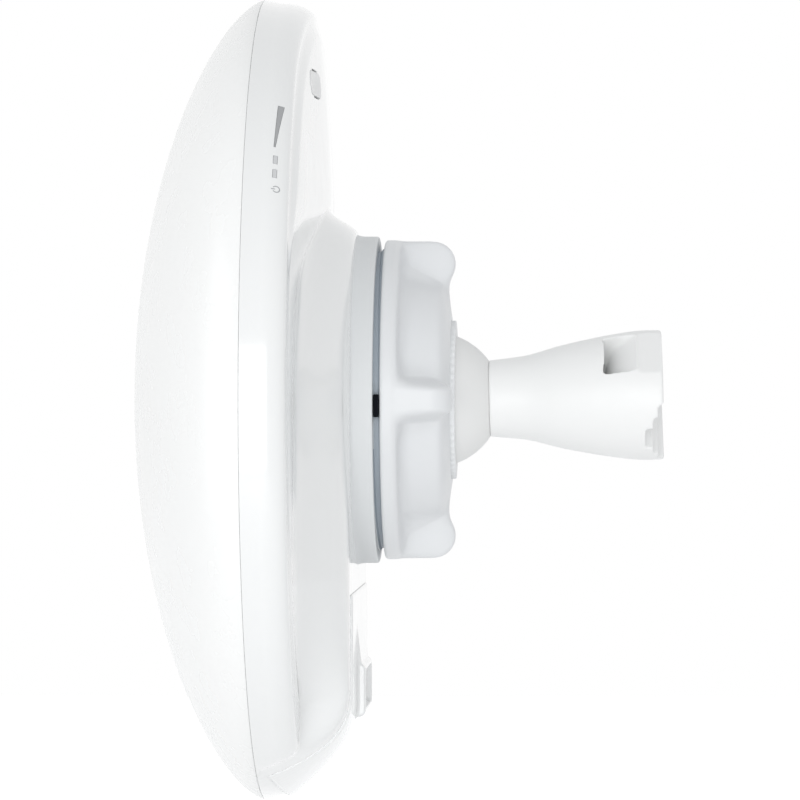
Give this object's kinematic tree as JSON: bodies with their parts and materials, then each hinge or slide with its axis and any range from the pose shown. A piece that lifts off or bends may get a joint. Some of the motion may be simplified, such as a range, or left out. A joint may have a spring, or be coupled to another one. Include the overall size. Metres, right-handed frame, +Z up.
{
  "type": "outdoor wireless bridge",
  "caption": "Round white outdoor radio with a domed front, on a ball-jointed pole arm with a lobed lock ring, sliding port cover and reset button.",
  "frame": {"origin": "centre of the arm's pole end", "axes": "+X from the dish towards the pole, along the dish's axis; +Z up; the side with the indicators is -Y"},
  "size_m": [0.2722, 0.413, 0.413],
  "materials": {
    "white_plastic": "satin",
    "grey_white_plastic": "satin",
    "lens_plastic": "satin",
    "black_plastic": "matte",
    "seal_rubber": "matte",
    "aluminium": "satin",
    "steel": "satin",
    "circuit_board": "satin",
    "low_friction_plastic": "satin",
    "pad_grey": "matte"
  },
  "bodies": {
    "pole_arm": {"pole_arm": "white_plastic", "ball_screw": "steel", "ball_washer": "steel"},
    "ball": {"ball": "grey_white_plastic"},
    "ball_liner": {"ball_liner": "low_friction_plastic"},
    "dish": {"base_screw_1": "steel", "base_screw_2": "steel", "base_screw_3": "steel", "base_screw_4": "steel", "base_seal": "seal_rubber", "board_screw_1": "steel", "board_screw_2": "steel", "board_screw_3": "steel", "board_screw_4": "steel", "cable_grommet": "seal_rubber", "feed_cone": "low_friction_plastic", "feed_flange": "aluminium", "feed_tube": "aluminium", "front_radome": "white_plastic", "heat_spreader": "aluminium", "indicator_board": "circuit_board", "main_reflector": "aluminium", "mount_base": "grey_white_plastic", "network_jack_1": "black_plastic", "network_jack_2": "black_plastic", "port_bay": "grey_white_plastic", "power_lens": "lens_plastic", "radio_board": "circuit_board", "rear_shell": "white_plastic", "reflector_screw_1": "steel", "reflector_screw_2": "steel", "reflector_screw_3": "steel", "reflector_screw_4": "steel", "reset_switch": "black_plastic", "rf_shield": "steel", "rim_seal": "seal_rubber", "ring_stop": "black_plastic", "signal_lens": "lens_plastic", "status_lens_1": "lens_plastic", "status_lens_2": "lens_plastic", "sub_reflector": "aluminium", "thermal_pad": "pad_grey"},
    "clamp_collet": {"clamp_collet": "grey_white_plastic"},
    "lock_ring": {"lock_ring": "white_plastic"},
    "port_cover": {"port_cover": "white_plastic"},
    "reset_button": {"reset_button": "grey_white_plastic"}
  },
  "joints": [
    {"name": "ball_roll", "type": "hinge", "parent": "pole_arm", "child": "ball", "pos_m": [-0.11817, 0, -0.00258], "axis": [0.9998, 0, 0.0218], "continuous": true},
    {"name": "azimuth_pan", "type": "hinge", "parent": "ball", "child": "ball_liner", "pos_m": [-0.11817, 0, -0.00258], "axis": [0, 0, 1], "range_deg": [-20, 20]},
    {"name": "elevation_tilt", "type": "hinge", "parent": "ball_liner", "child": "dish", "pos_m": [-0.11817, 0, -0.00258], "axis": [0, 1, 0], "range_deg": [-20, 20]},
    {"name": "collet_slide", "type": "slide", "parent": "dish", "child": "clamp_collet", "axis": [1, 0, 0], "range_m": [0, 0.003]},
    {"name": "lock_ring_turn", "type": "hinge", "parent": "clamp_collet", "child": "lock_ring", "pos_m": [-0.11817, 0, -0.00258], "axis": [1, 0, 0], "range_deg": [0, 180]},
    {"name": "port_cover_slide", "type": "slide", "parent": "dish", "child": "port_cover", "axis": [0, 0, -1], "range_m": [0, 0.09]},
    {"name": "reset_button_press", "type": "slide", "parent": "dish", "child": "reset_button", "axis": [-1, 0, 0], "range_m": [0, 0.0015], "stiffness_N_per_m": 400}
  ],
  "couplings": [
    {"joint": "collet_slide", "follows": "lock_ring_turn", "m_per_rad": 0.00095}
  ]
}
